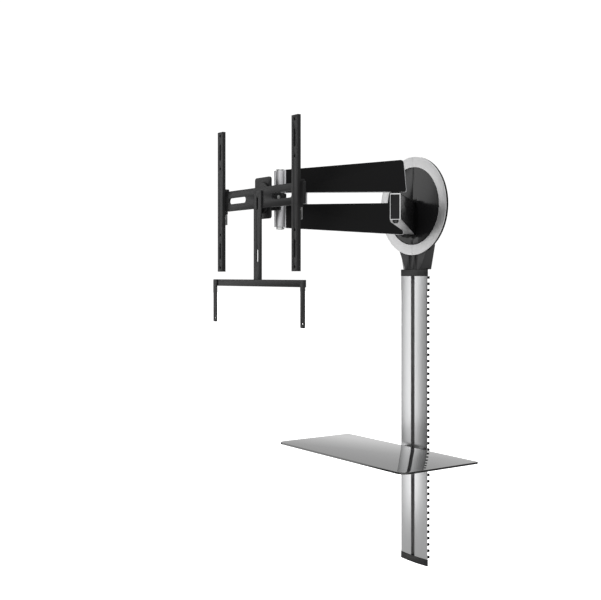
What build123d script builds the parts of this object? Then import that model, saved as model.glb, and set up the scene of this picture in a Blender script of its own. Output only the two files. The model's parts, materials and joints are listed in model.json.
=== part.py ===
from build123d import *

import math
import os

os.makedirs("parts", exist_ok=True)

# Full motion wall mount for a television, with a cable column and a glass shelf below it.
# Millimetres. +Z is up, the wall is the plane Y = 0 and the room is towards -Y.
# The origin is on the wall surface behind the centre of the round disc.

# ---------------------------------------------------------------- driving dimensions
running_gap = 0.05  # radial clearance of a shaft in its bush

# round disc on the wall
plate_width = 180.0
plate_height = 230.0
plate_thick = 4.0
wall_hole_x = 140.0  # spacing of the four wall bolts
wall_hole_z = 180.0
wall_hole_r = 4.5
ring_outer_r = 158.0
ring_inner_r = 125.0
ring_front_y = -21.0
ring_back_y = -19.4
ring_bevel = 0.6
carrier_back_y = -11.0
carrier_hole_x = 75.0
dish_front_y = -18.0
dish_back_y = -15.5
seam_gap = 0.8
window_half_x = 19.0  # the ears of the hinge bracket pass through windows in the dish

# wall hinge and inner arm
hinge_y = -50.0
hinge_pin_r = 8.0
hinge_bush_r = 11.0
ear_thick = 4.0
ear_half = 16.0
ear_gap = 2.0  # from the arm to an ear, filled by a bush flange
root_r = 30.0  # barrel at the root of the inner arm
inner_angle = -45.57  # direction of the inner arm at rest, in degrees from +X
inner_length = 340.1  # wall hinge axis to elbow axis
inner_nose = 12.0  # the front face stands this far beyond the elbow axis
inner_half = 15.0  # half of the arm's thickness at the front face
inner_top = 11.0
inner_low = -93.0  # underside at the root
inner_nose_low = -64.0  # underside at the front face
inner_taper_start = 20.0  # distance from the hinge axis where the underside starts to rise
inner_skin = 3.5
inner_strip = 3.0
trim_depth = 2.5  # chrome frame round the front plate
trim_left = 1.5
trim_right = 2.5
trim_low = 1.5
flange_thick = 1.5

# elbow and outer arm
elbow_pin_r = 6.0
elbow_bush_r = 8.0
elbow_boss_r = 9.0
outer_angle = -135.0
wing_half = 12.0
wing_skin = 1.5
lower_skin = 3.0
upper_low = 15.0  # lower edge of the upper wing at the elbow
upper_low_far = 17.7  # and from the taper's end to the head
upper_top = 106.5
lower_top = -16.5
lower_low = -107.0
wing_taper = 0.0645  # rise of the outer edges per millimetre of length
taper_end = 236.0
notch_length = 90.0  # the lower wing is only a thin plate this far from the elbow axis
notch_r = 19.8  # clears the corners of the inner arm
tongue_start = 14.0
tongue_high = -70.0
tongue_low = -96.0
wing_wall = 8.0
head_knuckle_r = 18.0
swivel_pin_r = 7.0
swivel_bush_r = 10.0

# television head, measured forwards from the swivel axis
yoke_back = 26.0
yoke_front = 32.0
yoke_half = 42.0
yoke_rise = 35.0
tilt_forward = 44.0
tilt_pin_r = 5.0
tilt_ear_r = 11.0
tilt_plate_back = 56.0
tilt_plate_front = 62.0
tilt_half_x = 41.0
tilt_half_z = 60.0
hub_front = 68.0
bar_front = 76.0
bar_half_x = 225.0
bar_half_z = 30.0
rail_front = 86.5
rail_half_z = 212.0
rail_width = 30.0
vesa_spacing = 400.0
vesa_inner = 200.0
vesa_hole_r = 4.25
hanger_spacing = 469.0
hanger_low = -365.0
hanger_hole_r = 3.25

# cable neck and column
column_top = -204.0
column_length = 943.0
cap_length = 21.5
cap_back_y = -9.5
column_half = 62.0
crown_y = -18.5
sagitta = 4.5
cover_thick = 2.5
slot_half = 8.0
side_wall_x = 41.5
rail_x = 18.5
comb_pitch = 20.1
comb_tooth = 8.0
comb_groups = (10, 35)  # teeth of the upper and the lower comb
comb_extra = 4.5
comb_front_y = -11.3
comb_back_y = -2.0
comb_strip_thick = 1.7
comb_strip_x = 58.0
tooth_inner_x = 56.0
tooth_outer_x = 62.6
neck_front_y = -19.0
neck_low_back = 67.0  # half widths of the neck at its foot and its top
neck_low_front = 36.0
neck_high_back = 86.0
neck_high_front = 74.0
neck_high = -125.0
ridge_x = 14.0
ridge_r = 6.0

# glass shelf
glass_width = 632.0
glass_depth = 297.0
glass_thick = 6.0
glass_top = -772.5
glass_back_y = -36.5
glass_front_r = 30.0
glass_back_r = 10.0
pad_thick = 2.0
shelf_arm_x = 45.0
shelf_plate_y = -20.0
shelf_plate_thick = 4.0
shelf_drop = 68.0
shelf_arm_front = -238.0
nut_front_y = -15.2
knob_z = -822.0

# ---------------------------------------------------------------- derived places
elbow_x = inner_length * math.cos(math.radians(inner_angle))
elbow_y = hinge_y + inner_length * math.sin(math.radians(inner_angle))
# the head is in front of the disc's centre
outer_length = elbow_x / math.cos(math.radians(outer_angle + 180.0))
head_y = elbow_y + outer_length * math.sin(math.radians(outer_angle))
column_low = column_top - column_length
crown_r = (column_half**2 + sagitta**2) / (2 * sagitta)
crown_centre_y = crown_y + crown_r
inner_end = inner_length + inner_nose
nose = inner_end - trim_depth
root_lean = math.atan2(inner_half, nose) + math.acos(root_r / math.hypot(nose, inner_half))
root_touch = root_r * math.cos(root_lean)
slope = (inner_nose_low - inner_low) / (inner_end - inner_taper_start)

inner_frame = Pos(0, hinge_y, 0) * Rot(0, 0, inner_angle)
outer_frame = Pos(elbow_x, elbow_y, 0) * Rot(0, 0, outer_angle)
nodes = {}


# ---------------------------------------------------------------- helpers
def block(x0, x1, y0, y1, z0, z1):
    """A box between two corners."""
    return Pos((x0 + x1) / 2, (y0 + y1) / 2, (z0 + z1) / 2) * Box(x1 - x0, y1 - y0, z1 - z0)


def rod_x(y, z, x0, x1, r):
    """A cylinder along X."""
    return Pos((x0 + x1) / 2, y, z) * Rot(0, 90, 0) * Cylinder(r, x1 - x0)


def rod_y(x, z, y0, y1, r):
    """A cylinder along Y."""
    return Pos(x, (y0 + y1) / 2, z) * Rot(90, 0, 0) * Cylinder(r, y1 - y0)


def rod_z(x, y, z0, z1, r):
    """A cylinder along Z."""
    return Pos(x, y, (z0 + z1) / 2) * Cylinder(r, z1 - z0)


def rounded(points, radii):
    """A flat outline with the given radius at each corner, 0 for a sharp one."""
    face = make_face(Polyline(*points, close=True))
    for point, radius in zip(points, radii):
        if radius > 0:
            corner = face.vertices().sort_by_distance((point[0], point[1], 0))[0]
            face = fillet(corner, radius)
    return face


def upright(face, y0, y1):
    """An outline drawn in X and Z, made solid from y0 to y1."""
    return Pos(0, y1, 0) * extrude(Plane.XZ * face, amount=y1 - y0)


def level(face, z0, z1):
    """An outline drawn in X and Y, made solid from z0 to z1."""
    return Pos(0, 0, z0) * extrude(face, amount=z1 - z0)


def half(solid, side):
    """The left (-1) or right (+1) half of a solid that is split by the seam."""
    reach = 400.0
    inner = seam_gap / 2
    low = inner if side > 0 else -reach
    high = reach if side > 0 else -inner
    return solid & block(low, high, -reach, reach, -2000, reach)


def bushes_z(x, y, z_top, z_low, flange_r, outer_r, inner_r, depth):
    """Two flanged bushes on one vertical axis, with their flanges facing outwards."""
    pair = []
    for end, sign in ((z_top, 1), (z_low, -1)):
        sleeve = rod_z(x, y, min(end, end - sign * depth), max(end, end - sign * depth), outer_r)
        low, high = sorted((end, end + sign * flange_thick))
        flange = rod_z(x, y, low, high, flange_r)
        bore = rod_z(x, y, end - depth - 5, end + depth + 5, inner_r)
        pair.append(sleeve + flange - bore)
    return Compound(children=pair)


# ---------------------------------------------------------------- wall unit
def build_wall_plate():
    plate = block(-plate_width / 2, plate_width / 2, -plate_thick, 0, -plate_height / 2, plate_height / 2)
    plate = fillet(plate.edges().filter_by(Axis.Y), 30)
    for x in (-wall_hole_x / 2, wall_hole_x / 2):
        for z in (-wall_hole_z / 2, wall_hole_z / 2):
            plate -= rod_y(x, z, -plate_thick - 1, 1, wall_hole_r)
    return plate


def build_hinge_bracket():
    back = block(-30, 30, -plate_thick - ear_thick, -plate_thick, inner_low - 15, inner_top + 15)
    ears = []
    for z0 in (inner_top + ear_gap, inner_low - ear_gap - ear_thick):
        ear = block(-ear_half, ear_half, hinge_y, -plate_thick - ear_thick, z0, z0 + ear_thick)
        ears.append(ear + rod_z(0, hinge_y, z0, z0 + ear_thick, ear_half))
    bracket = back + ears[0] + ears[1]
    return bracket - rod_z(0, hinge_y, inner_low - 30, inner_top + 30, hinge_pin_r)


def build_hinge_pin():
    top = inner_top + ear_gap + ear_thick
    low = inner_low - ear_gap - ear_thick
    shaft = rod_z(0, hinge_y, low, top, hinge_pin_r)
    head = rod_z(0, hinge_y, top, top + 3, hinge_pin_r + 4)
    head = chamfer(head.edges().group_by(Axis.Z)[-1], 1)
    foot = rod_z(0, hinge_y, low - 4, low, hinge_pin_r + 4)
    foot = chamfer(foot.edges().group_by(Axis.Z)[0], 1)
    return shaft + head + foot


def build_carrier():
    disc = rod_y(0, 0, ring_back_y, carrier_back_y, ring_outer_r - 0.3)
    disc -= rod_y(0, 0, ring_back_y - 1, dish_back_y, ring_inner_r)
    disc -= block(-34, 34, ring_back_y - 1, carrier_back_y + 1, inner_low - 18, inner_top + 18)
    for x in (-carrier_hole_x, carrier_hole_x):
        disc += rod_y(x, 0, carrier_back_y, -plate_thick, 9)
        disc -= rod_y(x, 0, dish_back_y - 1, -plate_thick, 2.1)
        disc -= rod_y(x, 0, dish_back_y - 1, dish_back_y + 2.5, 4.5)
    return disc


def build_carrier_screws():
    screws = []
    for x in (-carrier_hole_x, carrier_hole_x):
        head = rod_y(x, 0, dish_back_y + 0.2, dish_back_y + 2.5, 4.2)
        shank = rod_y(x, 0, dish_back_y + 2.5, -plate_thick, 2.0)
        screws.append(head + shank)
    return Compound(children=screws)


def build_ring():
    profile = Polyline(
        (ring_inner_r, ring_back_y),
        (ring_inner_r, ring_front_y + ring_bevel / 2),
        (ring_inner_r + ring_bevel / 2, ring_front_y),
        (ring_outer_r - ring_bevel, ring_front_y),
        (ring_outer_r, ring_front_y + ring_bevel),
        (ring_outer_r, ring_back_y),
        close=True,
    )
    return revolve(make_face(profile), Axis.Y)


def build_dish():
    dish = rod_y(0, 0, dish_front_y, dish_back_y, ring_inner_r - 0.4)
    dish = chamfer(dish.edges().group_by(Axis.Y)[0], 1.0)
    for z0 in (inner_top + ear_gap - 1, inner_low - ear_gap - ear_thick - 1):
        dish -= block(-window_half_x, window_half_x, -30, 0, z0, z0 + ear_thick + 2)
    return dish


def neck_outline(low_half, high_half):
    """The neck's outline at one depth, wider at the top."""
    foot = [(-low_half, column_top), (low_half, column_top)]
    top = [(high_half, neck_high), (-high_half, neck_high)]
    return Plane.XZ * make_face(Polyline(*foot, *top, close=True))


def build_neck():
    back = neck_outline(neck_low_back, neck_high_back)
    front = Pos(0, neck_front_y, 0) * neck_outline(neck_low_front, neck_high_front)
    neck = loft([back, front], ruled=True)
    return neck - rod_y(0, 0, -40, carrier_back_y + 0.5, ring_outer_r + 1)


def build_ridges():
    pair = []
    for x in (-ridge_x, ridge_x):
        ridge = rod_z(x, neck_front_y + 2, column_top, -140, ridge_r)
        pair.append(ridge - rod_y(0, 0, -40, 0, ring_outer_r + 1))
    return Compound(children=pair)


def crown(r_out, r_in, x0, x1, z0, z1):
    """A strip of the column's curved front between two radii and two X positions."""
    ring = rod_z(0, crown_centre_y, z0, z1, r_out)
    if r_in > 0:
        ring -= rod_z(0, crown_centre_y, z0 - 1, z1 + 1, r_in)
    return ring & block(x0, x1, -60, 0, z0, z1)


def build_cover(side):
    z0 = column_low + cap_length
    z1 = column_top - cap_length
    low, high = sorted((side * slot_half, side * column_half))
    shell = crown(crown_r, crown_r - cover_thick, low, high, z0, z1)
    low, high = sorted((side * (column_half - cover_thick), side * column_half))
    return shell + block(low, high, crown_y + sagitta - 0.5, -12.6, z0, z1)


def build_column_back():
    z0 = column_low + cap_length
    z1 = column_top - cap_length
    back = block(-side_wall_x, side_wall_x, -3, 0, column_low, column_top)
    for side in (-1, 1):
        low, high = sorted((side * (side_wall_x - 3), side * side_wall_x))
        back += block(low, high, -12.3, -3, z0, z1)
        back += block(low, high, cap_back_y + 0.3, -3, column_low, column_top)
        low, high = sorted((side * (rail_x - 1.5), side * (rail_x + 1.5)))
        back += block(low, high, nut_front_y, -3, z0, z1)
    return back


def build_cap(z0, z1):
    """An end cap that follows the column's crown, 1 mm proud of it, and clips over its back."""
    solid = crown(crown_r + 1, 0, -column_half - 1, column_half + 1, z0, z1)
    return solid & block(-column_half - 1, column_half + 1, -60, cap_back_y, z0, z1)


def build_comb(side):
    combs = []
    low_end = column_low + cap_length + 0.5
    z = column_top - cap_length - 0.4
    for teeth in comb_groups:
        low, high = sorted((side * side_wall_x, side * comb_strip_x))
        strip_back = comb_front_y + comb_strip_thick
        comb = block(low, high, comb_front_y, strip_back, max(low_end, z - teeth * comb_pitch + 2), z)
        low, high = sorted((side * tooth_inner_x, side * tooth_outer_x))
        for i in range(teeth):
            top = z - i * comb_pitch
            comb += block(low, high, comb_front_y, comb_back_y, top - comb_tooth, top)
        combs.append(comb)
        z -= teeth * comb_pitch + comb_extra
    return Compound(children=combs)


# ---------------------------------------------------------------- inner arm
def half_width(x):
    """Half of the inner arm's thickness at a distance from the hinge axis."""
    return (root_r - x * math.cos(root_lean)) / math.sin(root_lean)


def inner_plan(inset, x0, x1):
    """Plan outline of the inner arm, which narrows from its root to its front face."""
    wide = half_width(x0) - inset
    narrow = half_width(x1) - inset
    return make_face(Polyline((x0, -wide), (x1, -narrow), (x1, narrow), (x0, wide), close=True))


def inner_profile(inset_top, inset_low, x0, x1):
    """Side outline of the inner arm between two distances from the hinge axis."""
    low = inner_low + inset_low
    points = [(x0, inner_top - inset_top), (x0, low)]
    if x0 < inner_taper_start:
        points.append((inner_taper_start, low))
    points += [(x1, low + (x1 - inner_taper_start) * slope), (x1, inner_top - inset_top)]
    return make_face(Polyline(*points, close=True))


def inner_solid(inset, inset_top, inset_low, x0, x1):
    """A length of the inner arm, with its faces set in by three distances."""
    plan = level(inner_plan(inset, x0, x1), inner_low - 1, inner_top + 1)
    return plan & upright(inner_profile(inset_top, inset_low, x0, x1), -root_r - 1, root_r + 1)


def build_inner_arm():
    start = root_touch
    boss_low = inner_nose_low - 5
    elbow_hole = rod_z(inner_length, 0, inner_low, inner_top + 1, elbow_boss_r)
    shell = inner_solid(0, inner_strip, 0, start, nose)
    under = inner_solid(0, 0, 0, inner_taper_start, nose) - inner_solid(-1, -1, inner_strip, start, nose + 1)
    sides = shell - inner_solid(inner_skin, -1, -1, start - 1, nose + 1) - under
    top = inner_solid(0, 0, 0, start, nose) - shell

    core = inner_solid(inner_skin, inner_strip, 0, 0, nose) + rod_z(0, 0, inner_low, inner_top, root_r)
    core -= sides
    core -= under
    core -= top
    for x0, x1 in ((48, 125), (137, 222), (234, 315)):
        low = inner_low + 14 + max(0, (x1 - inner_taper_start) * slope)
        core -= block(x0, x1, -root_r, root_r, low, inner_top - 14)
    core -= elbow_hole
    core += rod_z(inner_length, 0, boss_low, 0, elbow_boss_r)
    core += rod_z(inner_length, 0, 0, inner_top, elbow_boss_r)
    core -= rod_z(inner_length, 0, boss_low - 1, inner_top + 1, elbow_bush_r)
    core -= rod_z(0, 0, inner_low - 1, inner_top + 1, hinge_bush_r)

    left, right = trim_left - inner_half, inner_half - trim_right
    low, high = inner_nose_low + trim_low, inner_top - inner_strip
    opening = block(nose - 1, inner_end + 1, left, right, low, high)
    trim = block(nose, inner_end, -inner_half, inner_half, inner_nose_low, inner_top) - opening
    front = block(nose, inner_end - 0.5, left, right, low, high)
    hinge_bushes = bushes_z(0, 0, inner_top, inner_low, 14.5, hinge_bush_r, hinge_pin_r + running_gap, 20)
    elbow_bushes = bushes_z(
        inner_length, 0, inner_top, boss_low, elbow_boss_r, elbow_bush_r, elbow_pin_r + running_gap, 18
    )
    parts = {
        "inner_arm_core": core,
        "inner_arm_side_left": sides & block(0, inner_end, 0, root_r + 1, inner_low, inner_top),
        "inner_arm_side_right": sides & block(0, inner_end, -root_r - 1, 0, inner_low, inner_top),
        "inner_arm_top_cover": top - elbow_hole - rod_z(0, 0, inner_low, inner_top + 1, root_r),
        "inner_arm_underside": under - elbow_hole,
        "inner_arm_front_plate": front,
        "inner_arm_front_trim": trim,
        "wall_hinge_bushes": hinge_bushes,
        "elbow_bushes": elbow_bushes,
    }
    for name, solid in parts.items():
        nodes[name] = inner_frame * solid


# ---------------------------------------------------------------- outer arm
def upper_outline(end):
    """Outline of the upper wing in distance from the elbow axis and height."""
    far = upper_top - (end + 20) * wing_taper
    points = [(-31, upper_low), (taper_end, upper_low_far), (end, upper_low_far), (end, far), (-23, upper_top)]
    return rounded(points, [4, 0, 0, 0, 9])


def lower_outline(end):
    """Outline of the lower wing, with a tongue that passes below the nose of the inner arm."""
    far = lower_low + (end + 22) * wing_taper
    points = [
        (tongue_start, lower_top),
        (tongue_start, tongue_high),
        (-22, tongue_low),
        (-22, lower_low),
        (end, far),
        (end, lower_top),
    ]
    return rounded(points, [0, 0, 3, 4, 0, 0])


def wing_pockets(z_low, z_high, rise_low, rise_high):
    """Pockets that lighten a wing's core, between ribs. The rises follow the tapered edges."""
    cut = None
    for x0, x1 in ((96, 164), (176, 244)):
        points = [
            (x0, z_low + rise_low * x0),
            (x1, z_low + rise_low * x1),
            (x1, z_high + rise_high * x1),
            (x0, z_high + rise_high * x0),
        ]
        pocket = upright(rounded(points, [6, 6, 6, 6]), -30, 30)
        cut = pocket if cut is None else cut + pocket
    return cut


def build_outer_arm():
    end = outer_length
    core_half = wing_half - wing_skin
    near_core = wing_half - lower_skin
    hole = rod_z(end, 0, -150, 150, swivel_pin_r)
    clear = rod_z(end, 0, lower_top, upper_low_far, head_knuckle_r + 3)

    upper = upright(upper_outline(end), -core_half, core_half)
    upper -= wing_pockets(upper_low + wing_wall, upper_top - wing_wall - 2, 0.01, -wing_taper)
    far_top = upper_top - (end + 20) * wing_taper
    upper += rod_z(end, 0, upper_low_far, far_top - 2, head_knuckle_r)
    upper -= rod_z(0, 0, 0, 60, elbow_pin_r)
    upper -= rod_z(end, 0, far_top - 2, far_top + 10, head_knuckle_r - 4)
    upper -= hole

    lower = upright(lower_outline(end), -core_half, near_core)
    lower -= block(-40, notch_length, -20, near_core + 1, tongue_low, 0)
    lower -= wing_pockets(lower_low + wing_wall + 2, lower_top - wing_wall, wing_taper, 0)
    far_low = lower_low + (end + 22) * wing_taper
    lower += rod_z(end, 0, far_low + 2, lower_top, head_knuckle_r)
    lower -= rod_z(end, 0, far_low - 10, far_low + 2, head_knuckle_r - 4)
    lower -= hole

    skin_end = end - head_knuckle_r - 1
    nose_sweep = rod_z(0, 0, tongue_high, 0, notch_r)
    skins = {
        "upper_wing_near_skin": upright(upper_outline(skin_end), core_half, wing_half),
        "upper_wing_far_skin": upright(upper_outline(skin_end), -wing_half, -core_half),
        "lower_wing_near_skin": upright(lower_outline(skin_end), near_core, wing_half) - nose_sweep,
    }
    far = upright(lower_outline(skin_end), -wing_half, -core_half)
    skins["lower_wing_far_skin"] = far - block(-40, notch_length, -20, 0, tongue_low, 0)
    link = block(258, 300, -9, 9, lower_top, upper_low_far)

    pin = rod_z(0, 0, inner_nose_low - 5 - flange_thick - 0.5, 60, elbow_pin_r)
    washer = rod_z(0, 0, inner_top + flange_thick + 0.3, upper_low + 0.12, 12)
    washer -= rod_z(0, 0, 0, 40, elbow_pin_r)
    cap_top = inner_nose_low - 5 - flange_thick - 0.5
    cap = rod_z(0, 0, cap_top - 3, cap_top, elbow_pin_r + 1)
    cap = chamfer(cap.edges().group_by(Axis.Z)[0], 0.8)

    screws = []
    for s, z in ((0, 88), (125, 82), (235, 76), (0, 28), (235, 30), (120, -30), (235, -30), (120, -84), (235, -78)):
        head = Cylinder(4, 1.2) - Pos(0, 0, 0.6) * Cylinder(1.6, 1.0)
        screws.append(Pos(s, -wing_half - 0.6, z) * Rot(90, 0, 0) * head)
    swivel_top = far_top - 2
    swivel_low = far_low + 2
    swivel = rod_z(end, 0, swivel_low - 8, swivel_top, swivel_pin_r)
    swivel += rod_z(end, 0, swivel_top, swivel_top + 5, 12)
    nut = extrude(RegularPolygon(12, 6), amount=7)
    swivel += Pos(end, 0, swivel_low - 7) * nut

    parts = {
        "upper_wing_core": upper,
        "lower_wing_core": lower,
        **skins,
        "wing_link": link - clear,
        "elbow_pin": pin,
        "elbow_washer": washer,
        "elbow_cap": cap,
        "wing_screws": Compound(children=screws),
        "swivel_pin": swivel,
    }
    for name, solid in parts.items():
        nodes[name] = outer_frame * solid


# ---------------------------------------------------------------- television head
def ahead(x0, x1, q0, q1, z0, z1):
    """A box placed by its distance forwards from the swivel axis."""
    return block(x0, x1, head_y - q1, head_y - q0, z0, z1)


def ahead_rod(x, z, q0, q1, r):
    """A cylinder that points forwards from the swivel axis."""
    return rod_y(x, z, head_y - q1, head_y - q0, r)


def build_swivel_yoke():
    low = lower_top + flange_thick + 1
    high = upper_low_far - flange_thick - 1
    yoke = rod_z(0, head_y, low, high, head_knuckle_r)
    yoke += ahead(-12, 12, 10, yoke_back, low, high)
    yoke += ahead(-yoke_half, yoke_half, yoke_back, yoke_front, -yoke_rise, yoke_rise)
    for side in (-1, 1):
        x0, x1 = sorted((side * (yoke_half - 6), side * yoke_half))
        yoke += ahead(x0, x1, yoke_front, tilt_forward, -tilt_ear_r, tilt_ear_r)
        yoke += rod_x(head_y - tilt_forward, 0, x0, x1, tilt_ear_r)
    yoke -= rod_z(0, head_y, low - 1, high + 1, swivel_bush_r)
    return yoke - rod_x(head_y - tilt_forward, 0, -60, 60, tilt_pin_r)


def build_swivel_bushes():
    low = lower_top + flange_thick + 1
    high = upper_low_far - flange_thick - 1
    return bushes_z(0, head_y, high, low, 13, swivel_bush_r, swivel_pin_r + running_gap, 11)


def build_tilt_pin():
    y = head_y - tilt_forward
    pin = rod_x(y, 0, -yoke_half, yoke_half + 17, tilt_pin_r)
    return pin + rod_x(y, 0, -yoke_half - 4, -yoke_half, tilt_pin_r + 3)


def lobed_knob(lobes, r, depth, bore_r):
    """A hand knob on the Z axis, from 0 to depth."""
    knob = Pos(0, 0, depth / 2) * Cylinder(r, depth)
    for i in range(lobes):
        angle = 2 * math.pi * i / lobes
        knob -= Pos((r + 2) * math.cos(angle), (r + 2) * math.sin(angle), depth / 2) * Cylinder(4, depth + 2)
    return knob - Pos(0, 0, depth / 2) * Cylinder(bore_r, depth + 2)


def build_tilt_bracket():
    plate = ahead(-tilt_half_x, tilt_half_x, tilt_plate_back, tilt_plate_front, -tilt_half_z, tilt_half_z)
    plate = fillet(plate.edges().filter_by(Axis.Y), 8)
    for side in (-1, 1):
        x0, x1 = sorted((side * (yoke_half - 13), side * (yoke_half - 7)))
        plate += ahead(x0, x1, tilt_forward, tilt_plate_back, -tilt_ear_r, tilt_ear_r)
        plate += rod_x(head_y - tilt_forward, 0, x0, x1, tilt_ear_r)
    plate -= rod_x(head_y - tilt_forward, 0, -50, 50, tilt_pin_r + running_gap)
    return plate - ahead_rod(0, 0, tilt_plate_back - 1, tilt_plate_front + 1, tilt_pin_r)


def build_level_bolt():
    bolt = ahead_rod(0, 0, tilt_plate_back, hub_front + 1, tilt_pin_r)
    bolt += Pos(0, head_y - tilt_plate_back, 0) * Rot(90, 0, 0) * extrude(RegularPolygon(9, 6), amount=-5)
    return bolt


def build_hub():
    hub = ahead_rod(0, 0, tilt_plate_front + 0.5, hub_front, 45)
    return hub - ahead_rod(0, 0, tilt_plate_front, hub_front + 1, tilt_pin_r + running_gap)


def build_cross_bar():
    bar = ahead(-bar_half_x, bar_half_x, hub_front, bar_front, -bar_half_z, bar_half_z)
    for x in (-120, 120):
        slot = ahead(x - 50, x + 50, hub_front - 1, bar_front + 1, -9, 9)
        bar -= fillet(slot.edges().filter_by(Axis.Y), 8.5)
    return bar - ahead_rod(0, 0, hub_front - 1, bar_front + 1, 8)


def build_bar_caps():
    caps = []
    for side in (-1, 1):
        x0, x1 = sorted((side * bar_half_x, side * (bar_half_x + 3)))
        caps.append(ahead(x0, x1, hub_front, bar_front, -bar_half_z, bar_half_z))
    return Compound(children=caps)


def build_rail(side):
    """One vertical rail that hooks over the cross bar and carries the television."""
    centre = side * vesa_spacing / 2
    x0 = centre - rail_width / 2
    x1 = centre + rail_width / 2
    rail = ahead(x0, x1, bar_front + 0.4, rail_front, -rail_half_z, rail_half_z)
    rail += ahead(x0, x1, hub_front - 4.5, bar_front + 0.4, bar_half_z + 0.5, bar_half_z + 8)
    rail += ahead(x0, x1, hub_front - 4.5, hub_front - 0.5, bar_half_z - 8, bar_half_z + 0.5)
    rail += ahead(x0, x1, hub_front, bar_front + 0.4, -bar_half_z - 8, -bar_half_z - 0.5)
    for z in (vesa_spacing / 2, vesa_inner / 2):
        for sign in (-1, 1):
            rail -= ahead_rod(centre, sign * z, bar_front - 1, rail_front + 1, vesa_hole_r)
    for z in (-150, 150):
        slot = ahead(centre - vesa_hole_r, centre + vesa_hole_r, bar_front - 1, rail_front + 1, z - 25, z + 25)
        rail -= fillet(slot.edges().filter_by(Axis.Y), vesa_hole_r - 0.05)
    return rail


def build_rail_lock(side):
    centre = side * vesa_spacing / 2
    lock = ahead(centre - 6, centre + 6, hub_front - 4, bar_front + 0.4, -bar_half_z - 14, -bar_half_z - 8)
    return lock + ahead(centre - 6, centre + 6, hub_front - 4, hub_front - 1, -bar_half_z - 40, -bar_half_z - 8)


def build_soundbar_spine():
    spine = ahead(-20, 20, bar_front + 0.4, bar_front + 3.4, -255, 20)
    for z in (-10, -160):
        slot = ahead(-4, 4, bar_front - 1, bar_front + 5, z - 25, z + 12)
        spine -= fillet(slot.edges().filter_by(Axis.Y), 3.9)
    return spine


def build_soundbar_bar():
    half_x = hanger_spacing / 2 + 10
    return ahead(-half_x, half_x, bar_front + 3.4, bar_front + 6.4, -255, -235)


def build_hangers():
    pair = []
    for side in (-1, 1):
        x = side * hanger_spacing / 2
        hanger = ahead(x - 10, x + 10, bar_front + 6.4, bar_front + 9.4, hanger_low, -235)
        hanger = fillet(hanger.edges().filter_by(Axis.Y), 4)
        pair.append(hanger - ahead_rod(x, hanger_low + 12, bar_front, rail_front + 5, hanger_hole_r))
    return Compound(children=pair)


# ---------------------------------------------------------------- glass shelf
def build_glass():
    front = glass_back_y - glass_depth
    w = glass_width / 2
    corners = [(-w, glass_back_y), (w, glass_back_y), (w, front), (-w, front)]
    radii = [glass_back_r, glass_back_r, glass_front_r, glass_front_r]
    return level(rounded(corners, radii), glass_top - glass_thick, glass_top)


def build_shelf_bracket():
    top = glass_top - glass_thick - pad_thick
    back = shelf_plate_y
    plate = block(-52, 52, back - shelf_plate_thick, back, top - shelf_drop, top)
    root = back - shelf_plate_thick
    for x in (-shelf_arm_x, shelf_arm_x):
        points = [(root, top), (shelf_arm_front, top), (shelf_arm_front, top - 9), (root, top - 40)]
        side = make_face(Plane.YZ * Polyline(*points, close=True))
        plate += Pos(x - 4, 0, 0) * extrude(side, amount=8, dir=(1, 0, 0))
        plate += block(x - 12, x + 12, shelf_arm_front, root, top - 4, top)
    return plate - rod_y(0, knob_z, root - 1, back + 1, 4.1)


def build_slider():
    nut = block(-14, 14, nut_front_y, nut_front_y + 4.7, knob_z - 25, knob_z + 25)
    nut += block(-slot_half + 1, slot_half - 1, shelf_plate_y, nut_front_y, knob_z - 25, knob_z + 25)
    return nut + rod_y(0, knob_z, shelf_plate_y - 26, shelf_plate_y, 4)


def build_pads():
    top = glass_top - glass_thick
    pads = []
    for x in (-shelf_arm_x, shelf_arm_x):
        for y in (-60, -225):
            pads.append(rod_z(x, y, top - pad_thick, top, 9))
    return Compound(children=pads)


# ---------------------------------------------------------------- assembly
ring = build_ring()
dish = build_dish()
ridges = build_ridges()
nodes["wall_plate"] = build_wall_plate()
nodes["hinge_bracket"] = build_hinge_bracket()
nodes["wall_hinge_pin"] = build_hinge_pin()
nodes["disc_carrier"] = build_carrier()
nodes["disc_screws"] = build_carrier_screws()
nodes["ring_left"] = half(ring, -1)
nodes["ring_right"] = half(ring, 1)
nodes["dish_left"] = half(dish, -1)
nodes["dish_right"] = half(dish, 1)
nodes["neck_cover"] = build_neck() - ridges
nodes["neck_ridges"] = ridges
nodes["column_back"] = build_column_back()
nodes["column_cover_left"] = build_cover(-1)
nodes["column_cover_right"] = build_cover(1)
nodes["column_top_cap"] = build_cap(column_top - cap_length, column_top)
nodes["column_bottom_cap"] = build_cap(column_low, column_low + cap_length)
nodes["cable_comb_left"] = build_comb(-1)
nodes["cable_comb_right"] = build_comb(1)
build_inner_arm()
build_outer_arm()
nodes["swivel_yoke"] = build_swivel_yoke()
nodes["swivel_bushes"] = build_swivel_bushes()
nodes["tilt_pin"] = build_tilt_pin()
nodes["tilt_knob"] = (
    Pos(yoke_half + 1, head_y - tilt_forward, 0)
    * Rot(0, 90, 0)
    * lobed_knob(6, 15, 14, tilt_pin_r + running_gap)
)
nodes["tilt_bracket"] = build_tilt_bracket()
nodes["level_bolt"] = build_level_bolt()
nodes["vesa_hub"] = build_hub()
nodes["cross_bar"] = build_cross_bar()
nodes["bar_end_caps"] = build_bar_caps()
for name, side in (("left", -1), ("right", 1)):
    nodes[f"vesa_rail_{name}"] = build_rail(side)
    nodes[f"rail_lock_{name}"] = build_rail_lock(side)
nodes["soundbar_spine"] = build_soundbar_spine()
nodes["soundbar_bar"] = build_soundbar_bar()
nodes["soundbar_hangers"] = build_hangers()
nodes["shelf_glass"] = build_glass()
nodes["shelf_bracket"] = build_shelf_bracket()
nodes["shelf_slider"] = build_slider()
nodes["shelf_pads"] = build_pads()
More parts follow.
